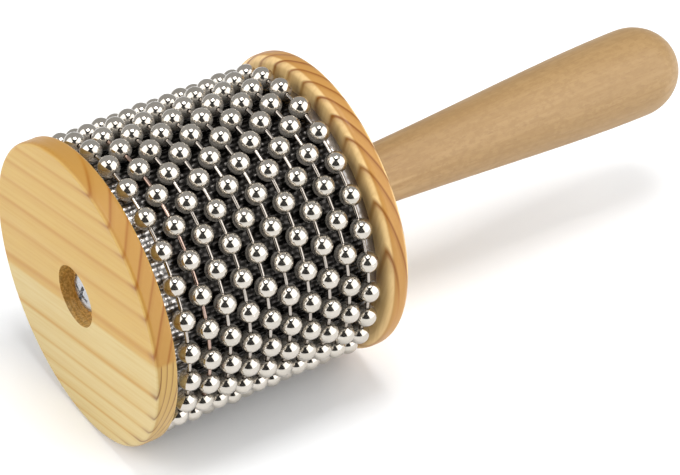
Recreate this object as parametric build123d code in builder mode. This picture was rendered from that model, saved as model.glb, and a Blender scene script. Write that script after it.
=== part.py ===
# Cabasa: ball-chain loops that turn on a steel-skinned wooden drum, between two wooden discs, on a handle.
# The drum's axis lies along +X, from the front disc to the handle's end, and the disc rims rest on z = 0.
from build123d import *
from math import cos, degrees, pi, radians, sin
import os

# Ball chain (mm)
loop_count = 10
ball_diameter = 6.35
ball_wall = 0.4
ball_pitch = 9.9  # nominal distance from ball to ball along a loop
ball_hole_diameter = 1.6
link_diameter = 1.15
link_head_diameter = 2.2
link_head_length = 0.8
link_head_clearance = 0.1  # from a link's head to the wall inside its ball
first_ball_turn = 1.6  # degrees from straight up to the first ball of the front loop

# Play of the loops on the drum
loop_clearance = 0.325  # from the skin's top to the balls that hang on it
loop_sag = 0.4  # how far a loop's middle hangs below the drum's axis
loop_gap = 0.1  # between neighbouring loops
front_gap = 2.5  # from the front disc to the first loop's balls
rear_gap = 1.8  # from the last loop's balls to the rear disc
rim_margin = 0.325  # how far the rims stand out past the loops' lowest balls

# Drum skin, a rolled steel sheet with an open seam underneath, and the brads that hold it
skin_diameter = 74.4
skin_wall = 0.5
skin_fit = 0.05  # radial gap between the skin and the core
seam_width = 0.5
brad_rows = 4
brad_diameter = 1.1
brad_length = 8.0
brad_head_diameter = 2.2
brad_head_height = 0.35
brad_fit = 0.05
brad_end_margin = 6.0  # from the skin's ends to the outer brads
brad_seam_margin = 2.0  # from the seam's middle to a brad, round the skin

# Clamp screw and the recess that its head sits in
screw_head_diameter = 12.0
screw_head_height = 2.8
screw_head_side = 1.1  # height of the head's straight side, below the dome
screw_head_recess = 1.8  # from the front face down to the head's top
screw_web = 1.9  # wood left under the head
screw_thread_diameter = 4.8
screw_root_diameter = 3.4
screw_thread_pitch = 2.2
screw_turns = 11
screw_tip_length = 4.0
screw_hole_clearance = 0.3
screw_thread_fit = 0.05
drive_arm_length = 6.4
drive_arm_width = 1.3
drive_depth = 1.9
drive_taper = 12.0
drive_turn = 20.0
recess_diameter = 18.5

# End discs
front_edge_radius = 1.2
rear_edge_radius = 2.4

# Handle: a grip that swells towards its end, and a spindle through the rear disc and the core
grip_length = 126.0
grip_dome_length = 15.0
grip_root_diameter = 16.8
grip_end_diameter = 27.5
grip_root_slope = 0.028
grip_root_reach = 0.40  # shares of the taper that the curve's two handles span
grip_end_reach = 0.28
spindle_diameter = 14.0
spindle_fit = 0.05
spindle_end_gap = 0.5
spindle_chamfer = 1.0

# Sizes that follow
ball_radius = ball_diameter / 2
skin_radius = skin_diameter / 2
core_radius = skin_radius - skin_wall - skin_fit
loop_radius = skin_radius + loop_clearance + loop_sag + ball_radius
disc_radius = loop_radius + loop_sag + ball_radius + rim_margin
disc_thickness = screw_web + screw_head_height + screw_head_recess
recess_depth = screw_head_height + screw_head_recess
drum_length = front_gap + rear_gap + loop_count * ball_diameter + (loop_count - 1) * loop_gap
spindle_radius = spindle_diameter / 2
screw_thread_length = screw_turns * screw_thread_pitch
screw_length = screw_web + spindle_end_gap + screw_thread_length + screw_tip_length
ball_count = round(2 * pi * loop_radius / ball_pitch)
ball_step = 360 / ball_count
link_length = 2 * loop_radius * sin(radians(ball_step / 2))  # between the centres of two balls

# Stations along the axis, measured from the front face
drum_start = disc_thickness
drum_end = drum_start + drum_length
rear_face = drum_end + disc_thickness
handle_end = rear_face + grip_length
head_seat = recess_depth
head_top = screw_head_recess

# Where the drum lies in the object's frame: the middle of its length over the origin, rims on the ground
front_x = -handle_end / 2
axis_height = disc_radius
axis_start = (front_x, 0, axis_height)
drum_axis = Axis(axis_start, (1, 0, 0))
profile_plane = Plane(axis_start, x_dir=(1, 0, 0), z_dir=(0, -1, 0))  # along the axis, then out from it
front_plane = Plane(axis_start, x_dir=(0, 1, 0), z_dir=(1, 0, 0))  # square to the axis, normal to the rear


def at_station(station):
    """The plane square to the axis at a distance behind the front face."""
    return front_plane.offset(station)


os.makedirs("parts", exist_ok=True)

# Front disc, with the stepped hole for the clamp screw
with BuildPart() as front_disc:
    with BuildSketch(front_plane):
        Circle(disc_radius)
    extrude(amount=disc_thickness)
    fillet(front_disc.edges().filter_by(GeomType.CIRCLE), front_edge_radius)
    with BuildSketch(front_plane):
        Circle(recess_diameter / 2)
    extrude(amount=recess_depth, mode=Mode.SUBTRACT)
    with BuildSketch(front_plane):
        Circle(screw_thread_diameter / 2 + screw_hole_clearance)
    extrude(amount=disc_thickness, mode=Mode.SUBTRACT)
front_disc.part.label = "front_disc"
export_step(front_disc.part, "parts/front_disc.step")

# Rear disc, bored for the spindle
with BuildPart() as rear_disc:
    with BuildSketch(at_station(drum_end)):
        Circle(disc_radius)
    extrude(amount=disc_thickness)
    fillet(rear_disc.edges().filter_by(GeomType.CIRCLE), rear_edge_radius)
    with BuildSketch(at_station(drum_end)):
        Circle(spindle_radius + spindle_fit)
    extrude(amount=disc_thickness, mode=Mode.SUBTRACT)
rear_disc.part.label = "rear_disc"
export_step(rear_disc.part, "parts/rear_disc.step")

# Places of the brads: rows along the drum, one brad on each side of the seam underneath
brad_spacing = (drum_length - 2 * brad_end_margin) / (brad_rows - 1)
brad_turn = degrees(brad_seam_margin / skin_radius)
first_brad_x = front_x + drum_start + brad_end_margin
brad_places = [
    Location((first_brad_x + row * brad_spacing, 0, axis_height), (180 + side * brad_turn, 0, 0))
    for row in range(brad_rows)
    for side in (-1, 1)
]

# One brad, pointing at the axis from the outside of the skin
with BuildPart() as brad:
    with Locations((0, 0, skin_radius)):
        Cylinder(brad_head_diameter / 2, brad_head_height, align=(Align.CENTER, Align.CENTER, Align.MIN))
        Cylinder(brad_diameter / 2, brad_length, align=(Align.CENTER, Align.CENTER, Align.MAX))

# The hole that a brad needs in the skin and the core
with BuildPart() as brad_hole:
    with Locations((0, 0, skin_radius - brad_length)):
        Cylinder(
            brad_diameter / 2 + brad_fit,
            brad_length + brad_head_height,
            align=(Align.CENTER, Align.CENTER, Align.MIN),
        )

with BuildPart() as skin_brads:
    with Locations(brad_places):
        add(brad.part)
skin_brads.part.label = "skin_brads"
export_step(skin_brads.part, "parts/skin_brads.step")

# Wooden core, bored right through for the spindle
with BuildPart() as drum_core:
    with BuildSketch(at_station(drum_start)):
        Circle(core_radius)
        Circle(spindle_radius + spindle_fit, mode=Mode.SUBTRACT)
    extrude(amount=drum_length)
    with Locations(brad_places):
        add(brad_hole.part, mode=Mode.SUBTRACT)
drum_core.part.label = "drum_core"
export_step(drum_core.part, "parts/drum_core.step")

# Steel skin round the core, open along its seam
with BuildPart() as steel_skin:
    with BuildSketch(at_station(drum_start)):
        Circle(skin_radius)
        Circle(skin_radius - skin_wall, mode=Mode.SUBTRACT)
        with Locations((0, -skin_radius)):
            Rectangle(seam_width, 4 * skin_wall, mode=Mode.SUBTRACT)
    extrude(amount=drum_length)
    with Locations(brad_places):
        add(brad_hole.part, mode=Mode.SUBTRACT)
steel_skin.part.label = "steel_skin"
export_step(steel_skin.part, "parts/steel_skin.step")

# Handle: grip and spindle in one turned piece, with the screw's hole in the spindle's end
taper_length = grip_length - grip_dome_length
spindle_start = drum_start + spindle_end_gap
dome_start = rear_face + taper_length
root_radius = grip_root_diameter / 2
grip_radius = grip_end_diameter / 2
with BuildPart() as handle:
    with BuildSketch(profile_plane):
        with BuildLine():
            Line((spindle_start, 0), (spindle_start, spindle_radius - spindle_chamfer))
            Line((spindle_start, spindle_radius - spindle_chamfer), (spindle_start + spindle_chamfer, spindle_radius))
            Line((spindle_start + spindle_chamfer, spindle_radius), (rear_face, spindle_radius))
            Line((rear_face, spindle_radius), (rear_face, root_radius))
            Bezier(
                (rear_face, root_radius),
                (
                    rear_face + grip_root_reach * taper_length,
                    root_radius + grip_root_reach * taper_length * grip_root_slope,
                ),
                (dome_start - grip_end_reach * taper_length, grip_radius),
                (dome_start, grip_radius),
            )
            EllipticalCenterArc((dome_start, 0), grip_dome_length, grip_radius, 0, arc_size=90)
            Line((handle_end, 0), (spindle_start, 0))
        make_face()
    revolve(axis=drum_axis)
    with BuildSketch(at_station(spindle_start)):
        Circle(screw_thread_diameter / 2 + screw_thread_fit)
    extrude(amount=screw_thread_length + screw_tip_length + screw_thread_fit, mode=Mode.SUBTRACT)
handle.part.label = "handle"
export_step(handle.part, "parts/handle.step")

# Clamp screw: domed head with a cross recess, ridged shank and a pointed tip
thread_start = head_seat + screw_web + spindle_end_gap
thread_end = thread_start + screw_thread_length
screw_tip = head_seat + screw_length
head_radius = screw_head_diameter / 2
root = screw_root_diameter / 2
crest = screw_thread_diameter / 2
thread_outline = [(thread_start, root)]
for turn in range(screw_turns):
    thread_outline.append((thread_start + (turn + 0.5) * screw_thread_pitch, crest))
    thread_outline.append((thread_start + (turn + 1) * screw_thread_pitch, root))
with BuildPart() as clamp_screw:
    with BuildSketch(profile_plane):
        with BuildLine():
            Line((head_top, 0), (head_seat, 0))
            Line((head_seat, 0), (head_seat, head_radius))
            Line((head_seat, head_radius), (head_seat - screw_head_side, head_radius))
            EllipticalCenterArc(
                (head_seat - screw_head_side, 0), screw_head_height - screw_head_side, head_radius, 90, arc_size=90
            )
        make_face()
        with BuildLine():
            Polyline((head_seat, 0), (head_seat, root), *thread_outline, (screw_tip, 0), close=True)
        make_face()
    revolve(axis=drum_axis)
    with BuildSketch(at_station(head_top)):
        with Locations(Rotation(0, 0, drive_turn)):
            Rectangle(drive_arm_length, drive_arm_width)
            Rectangle(drive_arm_width, drive_arm_length)
    extrude(amount=drive_depth, taper=drive_taper, mode=Mode.SUBTRACT)
clamp_screw.part.label = "clamp_screw"
export_step(clamp_screw.part, "parts/clamp_screw.step")

# One hollow ball at the top of a loop round the X axis, pierced towards its two neighbours
with BuildPart() as ball:
    with Locations((0, 0, loop_radius)):
        Sphere(ball_radius)
        Sphere(ball_radius - ball_wall, mode=Mode.SUBTRACT)
    with Locations(
        Location((0, 0, loop_radius), (90 + ball_step / 2, 0, 0)),
        Location((0, 0, loop_radius), (-90 - ball_step / 2, 0, 0)),
    ):
        Cylinder(
            ball_hole_diameter / 2,
            ball_diameter,
            align=(Align.CENTER, Align.CENTER, Align.MIN),
            mode=Mode.SUBTRACT,
        )

# One link, a pin with a head inside each of the two balls that it joins, half a step on from the ball
ball_bore_radius = ball_radius - ball_wall - link_head_clearance
head_face = (ball_bore_radius**2 - (link_head_diameter / 2) ** 2) ** 0.5  # from the ball's middle
pin_half = link_length / 2 - head_face
with BuildPart() as link:
    with Locations(Location((0, 0, loop_radius * cos(radians(ball_step / 2))), (90, 0, 0))):
        Cylinder(link_diameter / 2, 2 * pin_half + link_head_length)
        with Locations((0, 0, pin_half), (0, 0, -pin_half - link_head_length)):
            Cylinder(
                link_head_diameter / 2,
                link_head_length,
                align=(Align.CENTER, Align.CENTER, Align.MIN),
            )

# The loops, from the front disc to the rear one, each set half a ball step round from its neighbours
loop_pitch = ball_diameter + loop_gap
loop_height = axis_height - loop_sag
for loop in range(loop_count):
    loop_x = front_x + drum_start + front_gap + ball_radius + loop * loop_pitch
    loop_turn = first_ball_turn + loop % 2 * ball_step / 2
    ball_places = [
        Location((loop_x, 0, loop_height), (loop_turn + n * ball_step, 0, 0)) for n in range(ball_count)
    ]
    link_places = [
        Location((loop_x, 0, loop_height), (loop_turn + (n + 0.5) * ball_step, 0, 0)) for n in range(ball_count)
    ]
    with BuildPart() as loop_balls:
        with Locations(ball_places):
            add(ball.part, clean=False)
    loop_balls.part.label = f"loop_{loop + 1:02d}_balls"
    export_step(loop_balls.part, f"parts/loop_{loop + 1:02d}_balls.step")
    with BuildPart() as loop_links:
        with Locations(link_places):
            add(link.part, clean=False)
    loop_links.part.label = f"loop_{loop + 1:02d}_links"
    export_step(loop_links.part, f"parts/loop_{loop + 1:02d}_links.step")
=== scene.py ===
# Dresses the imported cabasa: pine discs, a turned handle, an embossed steel drum skin and bright ball chain.
import math

import bpy
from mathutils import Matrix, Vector


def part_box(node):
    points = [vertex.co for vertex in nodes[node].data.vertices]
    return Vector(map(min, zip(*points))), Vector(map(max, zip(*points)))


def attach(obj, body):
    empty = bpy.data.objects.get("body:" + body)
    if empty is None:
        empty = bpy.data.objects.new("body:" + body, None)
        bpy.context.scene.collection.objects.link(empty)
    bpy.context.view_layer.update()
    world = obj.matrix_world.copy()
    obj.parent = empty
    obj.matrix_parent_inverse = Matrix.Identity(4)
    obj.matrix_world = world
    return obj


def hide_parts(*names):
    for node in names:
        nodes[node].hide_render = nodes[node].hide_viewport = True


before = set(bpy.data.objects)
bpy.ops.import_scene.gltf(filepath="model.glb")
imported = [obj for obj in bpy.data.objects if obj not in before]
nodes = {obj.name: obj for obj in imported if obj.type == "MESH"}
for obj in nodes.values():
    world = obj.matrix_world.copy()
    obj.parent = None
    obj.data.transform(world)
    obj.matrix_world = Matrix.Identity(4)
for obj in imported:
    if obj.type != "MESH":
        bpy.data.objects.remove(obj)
bpy.context.view_layer.update()

MM = 0.001

# Places read from the frame
front_low, front_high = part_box("front_disc")
rear_low, rear_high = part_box("rear_disc")
skin_low, skin_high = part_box("steel_skin")
DISC_RADIUS = (front_high.z - front_low.z) / 2
SKIN_RADIUS = (skin_high.z - skin_low.z) / 2
AXIS_HEIGHT = front_low.z + DISC_RADIUS
FRONT_X = front_low.x
DRUM_START = skin_low.x
DRUM_END = skin_high.x
DRUM_LENGTH = DRUM_END - DRUM_START
LOOPS = [f"loop_{number:02d}" for number in range(1, 11)]
ball_low, ball_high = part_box("loop_05_balls")
BALL_SIZE = ball_high.x - ball_low.x
BALL_OUTER = max(ball_high.y, ball_high.z - AXIS_HEIGHT)

# Camera, as the photograph was taken
VIEW_AZIMUTH = math.radians(-33.25)
VIEW_ELEVATION = math.radians(38.75)
VIEW_TARGET = Vector((-37.1, -31.6, 57.7)) * MM
VIEW_DISTANCE = 853.0 * MM
VIEW_LENS = 163.4
SENSOR_WIDTH = 36.0

# Drum skin: short dashes pressed into a sheet, in brick order, and the mesh cells that each one takes
DASH_COLUMNS = 136
DASH_ROWS = 24
DASH_LENGTH = 2.7 * MM
DASH_WIDTH = 1.5 * MM
DASH_HEIGHT = 0.3 * MM
CELLS_ROUND = 4
CELLS_ALONG = 6
SKIN_WALL = 0.45 * MM
SEAM_WIDTH = 0.5 * MM
SMOOTH_ANGLE = math.radians(60)

# Drum skin: how far in from the rear it is pressed smooth, and how far in its two ends are painted lighter,
# as lit steel outside the loops' painted shade
EDGE_FLAT = 3.4 * MM
EDGE_FADE = 1.2 * MM
LIT_FRONT_REACH = 10.0 * MM
LIT_REAR_REACH = 4.0 * MM

# Drum skin, painted light and shade: painted shade under the loops, darker in the grooves than on the dash
# tops; painted light at the front, with a painted highlight on the dash tops; a lighter painted strip along
# the smooth rear edge
LOOP_SHADE_GROOVE = (0.012, 0.011, 0.01, 1)
LOOP_SHADE_TOP = (0.05, 0.046, 0.043, 1)
LIT_FRONT_GROOVE = (0.16, 0.15, 0.142, 1)
LIT_FRONT_HIGHLIGHT = (0.78, 0.745, 0.715, 1)
REAR_EDGE_LIT = (0.36, 0.338, 0.322, 1)

# Screw recess in the front disc
RECESS_RADIUS = 9.25 * MM
RECESS_BLEND = 0.12 * MM
RECESS_DARK = (0.26, 0.11, 0.018, 1)
RECESS_PALE = (0.80, 0.47, 0.13, 1)
RECESS_ROUGHNESS = 0.85

# Pine discs: how far in from the rim the end grain shows, and the soft edge of a glue joint
RIM_DEPTH = 0.6 * MM
RIM_FADE = 6.0 * MM
JOINT_BLEND = 0.8 * MM

# Pine discs: how steeply the grain rises, and where the front disc's two boards meet
FRONT_RISE = math.radians(14.0)
REAR_RISE = math.radians(72.7)
FRONT_JOINT = -5.0 * MM

# Pine discs: one year's growth, from pale early wood to dark late wood, as (place, darkness) stops
YEAR_STOPS = [(0.0, 0.15), (0.06, 0.0), (0.58, 0.03), (0.78, 0.22), (0.9, 1.0), (1.0, 0.15)]

# Handle: how far from the rear disc its pale streaks reach
ROOT_STREAK = 38.0 * MM
STREAK_COLOUR = (0.56, 0.40, 0.20, 1)

# All wood: its pores, and the height of its fibres
PORE_COLOUR = (0.22, 0.12, 0.05, 1)
FIBRE_HEIGHT = 0.4 * MM

# The one loop whose links have a rosier plate
ROSY_LOOP = "loop_02"

# Studio floor, in metres
FLOOR_SIZE = 8.0
FLOOR_COLOUR = (0.93, 0.94, 0.95, 1)
FLOOR_ROUGHNESS = 0.9

# Soft lights: name, azimuth and elevation in degrees, width and height in metres, power in watts
LIGHT_DISTANCE = 1.2
SOFTBOXES = [
    ("softbox_right", 36.0, 29.0, 1.75, 1.5, 17.8),
    ("softbox_left", -100.0, 29.0, 1.3, 1.5, 13.6),
    ("softbox_top", 0.0, 86.0, 0.5, 0.45, 7.0),
]

# Surroundings: an even brightness, with one round dim side
SKY_BRIGHT = 0.50
SKY_DIM = 0.02
DIM_AZIMUTH = math.radians(-37.0)
DIM_ELEVATION = math.radians(31.0)
DIM_INNER = math.radians(40.0)
DIM_OUTER = math.radians(50.0)


def feed(tree, socket, value):
    """Links a socket to another node's result, or sets its value."""
    if isinstance(value, bpy.types.NodeSocket):
        tree.links.new(value, socket)
    else:
        socket.default_value = value


def add_node(tree, kind, inputs=None, **settings):
    """Adds a shader node, with its settings, and sets or links its inputs."""
    made = tree.nodes.new(kind)
    for name, value in settings.items():
        setattr(made, name, value)
    for name, value in (inputs or {}).items():
        feed(tree, made.inputs[name], value)
    return made


def calculate(tree, operation, *values):
    """A Math node's result."""
    return add_node(tree, "ShaderNodeMath", dict(enumerate(values)), operation=operation).outputs[0]


def hypotenuse(tree, first, second):
    """The length of two values that lie at a right angle."""
    squares = [calculate(tree, "MULTIPLY", value, value) for value in (first, second)]
    return calculate(tree, "SQRT", calculate(tree, "ADD", *squares))


def stretch(tree, vector, scale):
    """A vector with each of its parts multiplied."""
    made = add_node(tree, "ShaderNodeVectorMath", {0: vector, 1: scale}, operation="MULTIPLY")
    return made.outputs[0]


def noise(tree, vector, scale, detail=2.0, roughness=0.5):
    """A noise value from 0 to 1."""
    inputs = {"Vector": vector, "Scale": scale, "Detail": detail, "Roughness": roughness}
    return add_node(tree, "ShaderNodeTexNoise", inputs).outputs["Fac"]


def span(tree, value, low, high, to_low=0.0, to_high=1.0):
    """A value carried smoothly from one range to another, and held at its ends."""
    inputs = {"Value": value, "From Min": low, "From Max": high, "To Min": to_low, "To Max": to_high}
    return add_node(tree, "ShaderNodeMapRange", inputs, interpolation_type="SMOOTHSTEP").outputs["Result"]


def blend_colours(tree, factor, first, second):
    """Two colours mixed by a factor."""
    made = add_node(tree, "ShaderNodeMix", data_type="RGBA")
    for name, value in (("Factor_Float", factor), ("A_Color", first), ("B_Color", second)):
        feed(tree, next(s for s in made.inputs if s.identifier == name), value)
    return next(s for s in made.outputs if s.identifier == "Result_Color")


def ramp(tree, value, stops):
    """A colour ramp's value, from (place, brightness) stops."""
    made = add_node(tree, "ShaderNodeValToRGB", {"Fac": value})
    elements = made.color_ramp.elements
    while len(elements) < len(stops):
        elements.new(0.5)
    for element, (place, level) in zip(elements, stops):
        element.position = place
        element.color = (level, level, level, 1.0)
    return made.outputs["Color"]


def new_group(name, inputs, outputs):
    """An empty shader node group with named sockets, and its two end nodes."""
    tree = bpy.data.node_groups.new(name, "ShaderNodeTree")
    for socket_name, kind, value in inputs:
        socket = tree.interface.new_socket(socket_name, in_out="INPUT", socket_type=kind)
        if value is not None:
            socket.default_value = value
    for socket_name, kind in outputs:
        tree.interface.new_socket(socket_name, in_out="OUTPUT", socket_type=kind)
    start = tree.nodes.new("NodeGroupInput")
    end = tree.nodes.new("NodeGroupOutput")
    return tree, start.outputs, end.inputs


def use_group(tree, group, inputs):
    """A group placed in a material, with its own values."""
    return add_node(tree, "ShaderNodeGroup", inputs, node_tree=group).outputs


def make_growth_rings():
    """Softwood growth rings round a tree's middle that lies along X, with dark late wood ending sharply."""
    tree, given, result = new_group(
        "growth_rings",
        [
            ("Vector", "NodeSocketVector", None),
            ("Spacing", "NodeSocketFloat", 0.006),
            ("Offset", "NodeSocketFloat", 0.0),
            ("Waver", "NodeSocketFloat", 0.002),
        ],
        [("Late Wood", "NodeSocketFloat"), ("Ring Tone", "NodeSocketFloat")],
    )
    parts = add_node(tree, "ShaderNodeSeparateXYZ", {0: given["Vector"]}).outputs
    radius = hypotenuse(tree, parts["Y"], parts["Z"])
    slow = noise(tree, stretch(tree, given["Vector"], (9.0, 26.0, 26.0)), 1.0, detail=1.0)
    drift = calculate(tree, "MULTIPLY", calculate(tree, "SUBTRACT", slow, 0.5), given["Waver"])
    rings = calculate(tree, "DIVIDE", calculate(tree, "ADD", radius, drift), given["Spacing"])
    rings = calculate(tree, "ADD", rings, given["Offset"])
    year = calculate(tree, "FRACT", rings)
    late = ramp(tree, year, YEAR_STOPS)
    year_number = calculate(tree, "FLOOR", rings)
    tone = add_node(tree, "ShaderNodeTexWhiteNoise", {"W": year_number}, noise_dimensions="1D")
    tree.links.new(late, result["Late Wood"])
    tree.links.new(tone.outputs["Value"], result["Ring Tone"])
    return tree


def make_wood_fibre():
    """Fine streaks along X, and short darker pores among them."""
    tree, given, result = new_group(
        "wood_fibre",
        [("Vector", "NodeSocketVector", None)],
        [("Streak", "NodeSocketFloat"), ("Pore", "NodeSocketFloat")],
    )
    streak = noise(tree, stretch(tree, given["Vector"], (30.0, 900.0, 900.0)), 1.0, detail=3.0)
    fleck = noise(tree, stretch(tree, given["Vector"], (220.0, 2600.0, 2600.0)), 1.0, detail=1.0)
    tree.links.new(streak, result["Streak"])
    tree.links.new(span(tree, fleck, 0.62, 0.75), result["Pore"])
    return tree


growth_rings = make_growth_rings()
wood_fibre = make_wood_fibre()


def new_material(name):
    """A material with its shader, and the object's own coordinates."""
    material = bpy.data.materials.new(name)
    material.use_nodes = True
    tree = material.node_tree
    shader = tree.nodes["Principled BSDF"]
    place = add_node(tree, "ShaderNodeTexCoord").outputs["Object"]
    return material, tree, shader, place


def dot(tree, vector, axis):
    """How far a vector reaches along an axis."""
    made = add_node(tree, "ShaderNodeVectorMath", {0: vector, 1: axis}, operation="DOT_PRODUCT")
    return made.outputs["Value"]


def from_axis(tree, place):
    """The distance of a point from the drum's axis."""
    parts = add_node(tree, "ShaderNodeSeparateXYZ", {0: place}).outputs
    up = calculate(tree, "SUBTRACT", parts["Z"], AXIS_HEIGHT)
    return hypotenuse(tree, parts["Y"], up)


def along_grain(tree, place, face_x, rise):
    """Places in a disc's boards: X along the grain, Y across it and Z in depth.

    The grain rises to the right as the front is seen.
    """
    middle = (face_x, 0.0, AXIS_HEIGHT)
    moved = add_node(tree, "ShaderNodeVectorMath", {0: place, 1: middle}, operation="SUBTRACT").outputs[0]
    axes = {
        "X": dot(tree, moved, (0.0, -math.cos(rise), math.sin(rise))),
        "Y": dot(tree, moved, (0.0, math.sin(rise), math.cos(rise))),
        "Z": dot(tree, moved, (1.0, 0.0, 0.0)),
    }
    return add_node(tree, "ShaderNodeCombineXYZ", axes).outputs[0]


def make_board(tree, grain, rim, near_rim, pith, spacing, offset, waver, colours, late_strength, sharpness):
    """Colour, late wood and streaks of one board: rings round its pith, and darker end grain."""
    pale, deep, late_colour, rim_colour, rim_late = colours
    centred = add_node(tree, "ShaderNodeVectorMath", {0: grain, 1: pith}, operation="SUBTRACT").outputs[0]
    ring_values = {"Vector": centred, "Spacing": spacing, "Offset": offset, "Waver": waver}
    rings = use_group(tree, growth_rings, ring_values)
    fibre = use_group(tree, wood_fibre, {"Vector": grain})
    cloud = noise(tree, grain, 45.0, detail=2.0)
    colour = blend_colours(tree, cloud, pale, deep)
    colour = blend_colours(tree, span(tree, fibre["Streak"], 0.35, 0.75, 0.0, 0.25), colour, late_colour)
    colour = blend_colours(tree, calculate(tree, "MULTIPLY", rim, 0.9), colour, rim_colour)
    strength = span(tree, rings["Ring Tone"], 0.0, 1.0, late_strength * 0.7, late_strength)
    strength = calculate(tree, "ADD", strength, calculate(tree, "MULTIPLY", near_rim, 0.25))
    late = calculate(tree, "MULTIPLY", calculate(tree, "POWER", rings["Late Wood"], sharpness), strength)
    late = calculate(tree, "MINIMUM", late, 1.0)
    dark = blend_colours(tree, near_rim, late_colour, rim_late)
    return blend_colours(tree, late, colour, dark), late, fibre["Streak"]


def make_pine(name, face_x, rise, boards, joint=None, recess=False):
    """Pale pine with orange late wood, under a satin coat; a recess in it is bare and brown."""
    material, tree, shader, place = new_material(name)
    grain = along_grain(tree, place, face_x, rise)
    parts = add_node(tree, "ShaderNodeSeparateXYZ", {0: grain}).outputs
    reach = from_axis(tree, place)
    rim = span(tree, reach, DISC_RADIUS - RIM_DEPTH, DISC_RADIUS - RIM_DEPTH / 3)
    near_rim = span(tree, reach, DISC_RADIUS - RIM_FADE, DISC_RADIUS - RIM_DEPTH / 3)
    near_rim = calculate(tree, "MULTIPLY", near_rim, span(tree, parts["X"], 0.0, DISC_RADIUS * 0.5))
    colour, late, streak = make_board(tree, grain, rim, near_rim, **boards[0])
    if joint is not None:
        other, other_late, streak = make_board(tree, grain, rim, near_rim, **boards[1])
        below = span(tree, parts["Y"], joint + JOINT_BLEND, joint - JOINT_BLEND)
        colour = blend_colours(tree, below, colour, other)
        late = calculate(tree, "MAXIMUM", late, other_late)
    rough = span(tree, late, 0.0, 1.0, 0.44, 0.36)
    if recess:
        inside = span(tree, reach, RECESS_RADIUS + RECESS_BLEND, RECESS_RADIUS - RECESS_BLEND)
        torn = noise(tree, stretch(tree, place, (1500.0, 1200.0, 1200.0)), 1.0, detail=3.0, roughness=0.7)
        bare = blend_colours(tree, span(tree, torn, 0.35, 0.68), RECESS_DARK, RECESS_PALE)
        colour = blend_colours(tree, inside, colour, bare)
        bare_rough = calculate(tree, "MULTIPLY", inside, RECESS_ROUGHNESS)
        rough = calculate(tree, "MAXIMUM", rough, bare_rough)
    bump = add_node(tree, "ShaderNodeBump", {"Height": streak, "Strength": 0.06, "Distance": FIBRE_HEIGHT})
    tree.links.new(colour, shader.inputs["Base Color"])
    tree.links.new(rough, shader.inputs["Roughness"])
    tree.links.new(bump.outputs["Normal"], shader.inputs["Normal"])
    shader.inputs["Specular IOR Level"].default_value = 0.3
    shader.inputs["Coat Weight"].default_value = 0.05
    shader.inputs["Coat Roughness"].default_value = 0.3
    return material


def make_plain_wood(name, light, dark, roughness, root=None):
    """Plain close-grained wood, its fibres along the drum's axis; a turned root shows pale streaks."""
    material, tree, shader, place = new_material(name)
    fibre = use_group(tree, wood_fibre, {"Vector": place})
    cloud = noise(tree, stretch(tree, place, (12.0, 60.0, 60.0)), 1.0, detail=3.0)
    colour = blend_colours(tree, cloud, light, dark)
    colour = blend_colours(tree, span(tree, fibre["Streak"], 0.3, 0.8, 0.0, 0.8), colour, dark)
    mottle = noise(tree, stretch(tree, place, (380.0, 620.0, 620.0)), 1.0, detail=4.0, roughness=0.65)
    colour = blend_colours(tree, span(tree, mottle, 0.42, 0.62, 0.0, 0.75), colour, dark)
    colour = blend_colours(tree, calculate(tree, "MULTIPLY", fibre["Pore"], 0.3), colour, PORE_COLOUR)
    if root is not None:
        pale = noise(tree, stretch(tree, place, (22.0, 260.0, 260.0)), 1.0, detail=2.0)
        near = span(tree, dot(tree, place, (1.0, 0.0, 0.0)), root + ROOT_STREAK, root)
        streaks = calculate(tree, "MULTIPLY", span(tree, pale, 0.5, 0.64, 0.0, 0.7), near)
        colour = blend_colours(tree, streaks, colour, STREAK_COLOUR)
    relief = {"Height": fibre["Streak"], "Strength": 0.05, "Distance": FIBRE_HEIGHT}
    bump = add_node(tree, "ShaderNodeBump", relief)
    rough = span(tree, fibre["Streak"], 0.2, 0.8, roughness, roughness + 0.1)
    tree.links.new(colour, shader.inputs["Base Color"])
    tree.links.new(rough, shader.inputs["Roughness"])
    tree.links.new(bump.outputs["Normal"], shader.inputs["Normal"])
    return material


def plate_marks(tree, place, colour, tint):
    """Colour of plated metal with faint cloudy tarnish, and a value for its fine rub marks."""
    cloud = noise(tree, place, 160.0)
    rub = noise(tree, place, 2200.0)
    return blend_colours(tree, span(tree, cloud, 0.4, 0.75), colour, tint), rub


def make_plate(name, colour, tint, roughness):
    """Bright plated metal."""
    material, tree, shader, place = new_material(name)
    tarnished, rub = plate_marks(tree, place, colour, tint)
    tree.links.new(tarnished, shader.inputs["Base Color"])
    tree.links.new(span(tree, rub, 0.3, 0.8, roughness, roughness * 1.8), shader.inputs["Roughness"])
    shader.inputs["Metallic"].default_value = 1.0
    return material


def make_ball_plate(name, colour, tint):
    """Bright nickel on hollow balls: polished on their outer sides, hazy towards the drum."""
    material, tree, shader, place = new_material(name)
    tarnished, rub = plate_marks(tree, place, colour, tint)
    polished = span(tree, from_axis(tree, place), BALL_OUTER - BALL_SIZE * 0.56, BALL_OUTER - BALL_SIZE * 0.3)
    haze = span(tree, rub, 0.3, 0.8, 0.24, 0.34)
    gloss = span(tree, rub, 0.3, 0.8, 0.07, 0.12)
    keep = calculate(tree, "MULTIPLY", gloss, polished)
    lose = calculate(tree, "MULTIPLY", haze, calculate(tree, "SUBTRACT", 1.0, polished))
    tree.links.new(tarnished, shader.inputs["Base Color"])
    tree.links.new(calculate(tree, "ADD", keep, lose), shader.inputs["Roughness"])
    tree.links.new(span(tree, polished, 0.0, 1.0, 0.55, 0.95), shader.inputs["Metallic"])
    return material


def dress(node, material):
    """Gives a CAD node its finish."""
    for slot in nodes[node].material_slots:
        slot.material = material


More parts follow.
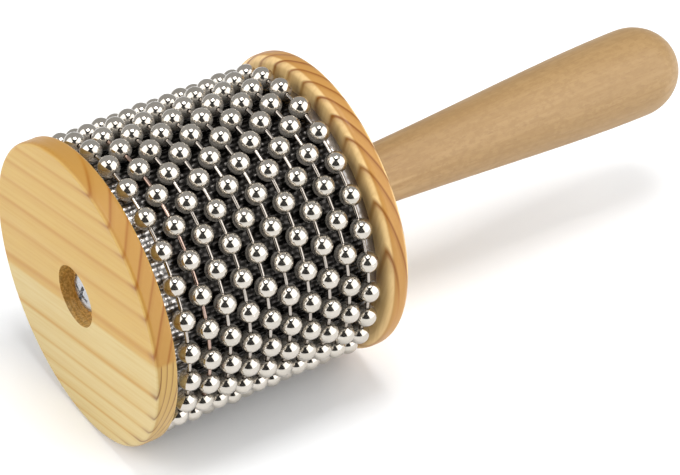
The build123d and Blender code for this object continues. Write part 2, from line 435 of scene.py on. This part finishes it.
def dash_lift(around, along):
    """Height of the pressed pattern at a place on the sheet, in columns round it and rows along it."""
    column = math.floor(around)
    shift = 0.5 if column % 2 else 0.0
    across = abs(around - column - 0.5) * (2 * math.pi * SKIN_RADIUS / DASH_COLUMNS) / (DASH_WIDTH / 2)
    beside = abs((along + shift) % 1.0 - 0.5) * (DRUM_LENGTH / DASH_ROWS) / (DASH_LENGTH / 2)
    reach = min(1.0, math.hypot(across, beside ** 2))
    return DASH_HEIGHT * (1.0 - reach ** 3)


def make_skin():
    """The embossed sheet, rolled round the drum with its seam underneath.

    Its rear edge is pressed smooth, and all its edges are turned down.
    """
    columns = DASH_COLUMNS * CELLS_ROUND
    rows = DASH_ROWS * CELLS_ALONG
    bpy.ops.object.select_all(action="DESELECT")
    bpy.ops.mesh.primitive_grid_add(x_subdivisions=columns, y_subdivisions=rows, size=1.0)
    sheet = bpy.context.object
    sheet.name = "embossed_skin"
    seam_turn = SEAM_WIDTH / SKIN_RADIUS
    valley = SKIN_RADIUS - DASH_HEIGHT
    for vertex in sheet.data.vertices:
        around = vertex.co.x + 0.5
        along = vertex.co.y + 0.5
        lift = dash_lift(around * DASH_COLUMNS, along * DASH_ROWS)
        pressed = min(1.0, max(0.0, (EDGE_FLAT - (1.0 - along) * DRUM_LENGTH) / EDGE_FADE))
        lift += (DASH_HEIGHT - lift) * pressed
        turn = seam_turn / 2 + around * (2 * math.pi - seam_turn)
        radius = valley + lift
        vertex.co = (
            DRUM_START + along * DRUM_LENGTH,
            -radius * math.sin(turn),
            AXIS_HEIGHT - radius * math.cos(turn),
        )
    bpy.ops.object.mode_set(mode="EDIT")
    bpy.ops.mesh.select_all(action="DESELECT")
    bpy.ops.mesh.select_mode(type="EDGE")
    bpy.ops.mesh.select_non_manifold()
    bpy.ops.mesh.extrude_edges_move()
    sink = (valley - SKIN_WALL) / valley
    bpy.ops.transform.resize(value=(1.0, sink, sink), center_override=(0.0, 0.0, AXIS_HEIGHT))
    bpy.ops.mesh.select_all(action="SELECT")
    bpy.ops.mesh.normals_make_consistent(inside=False)
    bpy.ops.object.mode_set(mode="OBJECT")
    bpy.ops.object.shade_smooth_by_angle(angle=SMOOTH_ANGLE)
    return sheet


def make_skin_steel():
    """Steel with painted shade, dark under the loops, and painted light at the front and, duller, along its
    smooth rear edge.

    The dash tops are painted lighter than the grooves, brightest as a painted highlight at the front.
    """
    material, tree, shader, place = new_material("skin_steel_embossed")
    height = from_axis(tree, place)
    # How high a point stands on a dash: it sets the painted shade in the grooves and the roughness
    dash_top = span(tree, height, SKIN_RADIUS - DASH_HEIGHT, SKIN_RADIUS)
    grime = noise(tree, place, 420.0, detail=3.0)
    # Painted shade under the loops: dark grooves, slightly lighter dash tops
    colour = blend_colours(tree, dash_top, LOOP_SHADE_GROOVE, LOOP_SHADE_TOP)
    colour = blend_colours(tree, span(tree, grime, 0.45, 0.8, 0.0, 0.4), colour, LOOP_SHADE_GROOVE)
    along = dot(tree, place, (1.0, 0.0, 0.0))
    front = span(tree, along, DRUM_START + LIT_FRONT_REACH, DRUM_START + LIT_FRONT_REACH / 3)
    rear = span(tree, along, DRUM_END - LIT_REAR_REACH, DRUM_END - LIT_REAR_REACH / 2)
    # Painted light at the front, with a bright painted highlight on the dash tops
    lit_front_colour = blend_colours(tree, dash_top, LIT_FRONT_GROOVE, LIT_FRONT_HIGHLIGHT)
    colour = blend_colours(tree, front, colour, lit_front_colour)
    # A lighter painted strip along the rear edge, as steel outside the loops' shade
    colour = blend_colours(tree, rear, colour, REAR_EDGE_LIT)
    tree.links.new(colour, shader.inputs["Base Color"])
    tree.links.new(span(tree, dash_top, 0.0, 1.0, 0.36, 0.26), shader.inputs["Roughness"])
    shader.inputs["Metallic"].default_value = 1.0
    return material


# Boards of the discs; colours are early wood twice, late wood, the rim, and late wood at the rim
upper_board = {
    "pith": (0.0, -26.0 * MM, 70.0 * MM),
    "spacing": 4.22 * MM,
    "offset": 0.32,
    "waver": 1.2 * MM,
    "colours": (
        (0.51, 0.332, 0.088, 1),
        (0.49, 0.31, 0.078, 1),
        (0.40, 0.185, 0.008, 1),
        (0.375, 0.19, 0.036, 1),
        (0.27, 0.095, 0.008, 1),
    ),
    "late_strength": 0.9,
    "sharpness": 0.8,
}
lower_board = {
    "pith": (0.0, 5.0 * MM, -110.0 * MM),
    "spacing": 1.8 * MM,
    "offset": 0.71,
    "waver": 0.4 * MM,
    "colours": (
        (0.535, 0.42, 0.19, 1),
        (0.52, 0.40, 0.172, 1),
        (0.42, 0.205, 0.008, 1),
        (0.44, 0.27, 0.072, 1),
        (0.17, 0.065, 0.008, 1),
    ),
    "late_strength": 0.9,
    "sharpness": 0.9,
}
rear_board = {
    "pith": (0.0, -170.0 * MM, -368.0 * MM),
    "spacing": 3.16 * MM,
    "offset": 0.0,
    "waver": 2.2 * MM,
    "colours": (
        (0.80, 0.575, 0.265, 1),
        (0.74, 0.51, 0.215, 1),
        (0.40, 0.17, 0.02, 1),
        (0.41, 0.195, 0.036, 1),
        (0.22, 0.07, 0.006, 1),
    ),
    "late_strength": 1.0,
    "sharpness": 0.55,
}

# Finishes of the CAD pieces
front_boards = [upper_board, lower_board]
front_pine = make_pine("front_pine", FRONT_X, FRONT_RISE, front_boards, FRONT_JOINT, recess=True)
rear_pine = make_pine("rear_pine", rear_low.x, REAR_RISE, [rear_board])
handle_colours = ((0.42, 0.267, 0.112, 1), (0.30, 0.178, 0.067, 1))
handle_wood = make_plain_wood("handle_plain_wood", *handle_colours, 0.42, rear_high.x)
core_wood = make_plain_wood("core_sawn_wood", (0.60, 0.42, 0.24, 1), (0.48, 0.30, 0.15, 1), 0.7)
ball_plate = make_ball_plate("ball_nickel_plate", (0.54, 0.50, 0.445, 1), (0.48, 0.445, 0.39, 1))
link_plate = make_plate("link_nickel_plate", (0.43, 0.39, 0.35, 1), (0.36, 0.32, 0.285, 1), 0.14)
rosy_plate = make_plate("link_rosy_plate", (0.43, 0.31, 0.26, 1), (0.36, 0.25, 0.205, 1), 0.16)
screw_plate = make_plate("screw_zinc_plate", (0.46, 0.46, 0.47, 1), (0.36, 0.37, 0.385, 1), 0.2)
brad_steel = make_plate("brad_plain_steel", (0.5, 0.5, 0.5, 1), (0.42, 0.41, 0.4, 1), 0.3)

dress("front_disc", front_pine)
dress("rear_disc", rear_pine)
dress("handle", handle_wood)
dress("drum_core", core_wood)
dress("clamp_screw", screw_plate)
dress("skin_brads", brad_steel)
for loop in LOOPS:
    dress(loop + "_balls", ball_plate)
    dress(loop + "_links", rosy_plate if loop == ROSY_LOOP else link_plate)

# Embossed skin in place of the plain one
skin = make_skin()
skin.data.materials.append(make_skin_steel())
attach(skin, "drum")
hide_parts("steel_skin")


def look_from(azimuth, elevation, distance, target):
    """A place round a target, by the directions that it is seen from."""
    back = Vector((
        math.sin(azimuth) * math.cos(elevation),
        -math.cos(azimuth) * math.cos(elevation),
        math.sin(elevation),
    ))
    return target + back * distance


def add_softbox(name, azimuth, elevation, width, height, power):
    """A soft light facing the object."""
    light = bpy.data.lights.new(name, "AREA")
    light.shape = "RECTANGLE"
    light.size = width
    light.size_y = height
    light.energy = power
    lamp = bpy.data.objects.new(name, light)
    bpy.context.scene.collection.objects.link(lamp)
    target = Vector((0.0, 0.0, AXIS_HEIGHT))
    lamp.location = look_from(math.radians(azimuth), math.radians(elevation), LIGHT_DISTANCE, target)
    lamp.rotation_euler = (target - lamp.location).to_track_quat("-Z", "Y").to_euler()


# Floor
bpy.ops.object.select_all(action="DESELECT")
bpy.ops.mesh.primitive_plane_add(size=FLOOR_SIZE)
floor = bpy.context.object
floor.name = "studio_floor"
floor_paint = bpy.data.materials.new("studio_floor_paint")
floor_paint.use_nodes = True
floor_shader = floor_paint.node_tree.nodes["Principled BSDF"]
floor_shader.inputs["Base Color"].default_value = FLOOR_COLOUR
floor_shader.inputs["Roughness"].default_value = FLOOR_ROUGHNESS
floor.data.materials.append(floor_paint)

# Light
for softbox in SOFTBOXES:
    add_softbox(*softbox)

world = bpy.data.worlds.new("studio")
bpy.context.scene.world = world
world.use_nodes = True
sky = world.node_tree
direction = add_node(sky, "ShaderNodeTexCoord").outputs["Generated"]
dim_side = look_from(DIM_AZIMUTH, DIM_ELEVATION, 1.0, Vector((0.0, 0.0, 0.0)))
facing = dot(sky, direction, dim_side)
brightness = span(sky, facing, math.cos(DIM_OUTER), math.cos(DIM_INNER), SKY_BRIGHT, SKY_DIM)
sky.links.new(brightness, sky.nodes["Background"].inputs["Color"])
sky.nodes["Background"].inputs["Strength"].default_value = 1.0

# Camera
camera = bpy.data.cameras.new("camera")
camera.sensor_width = SENSOR_WIDTH
camera.lens = VIEW_LENS
camera_object = bpy.data.objects.new("camera", camera)
bpy.context.scene.collection.objects.link(camera_object)
camera_object.location = look_from(VIEW_AZIMUTH, VIEW_ELEVATION, VIEW_DISTANCE, VIEW_TARGET)
camera_object.rotation_euler = (VIEW_TARGET - camera_object.location).to_track_quat("-Z", "Y").to_euler()
bpy.context.scene.camera = camera_object
bpy.context.scene.view_settings.view_transform = "Standard"
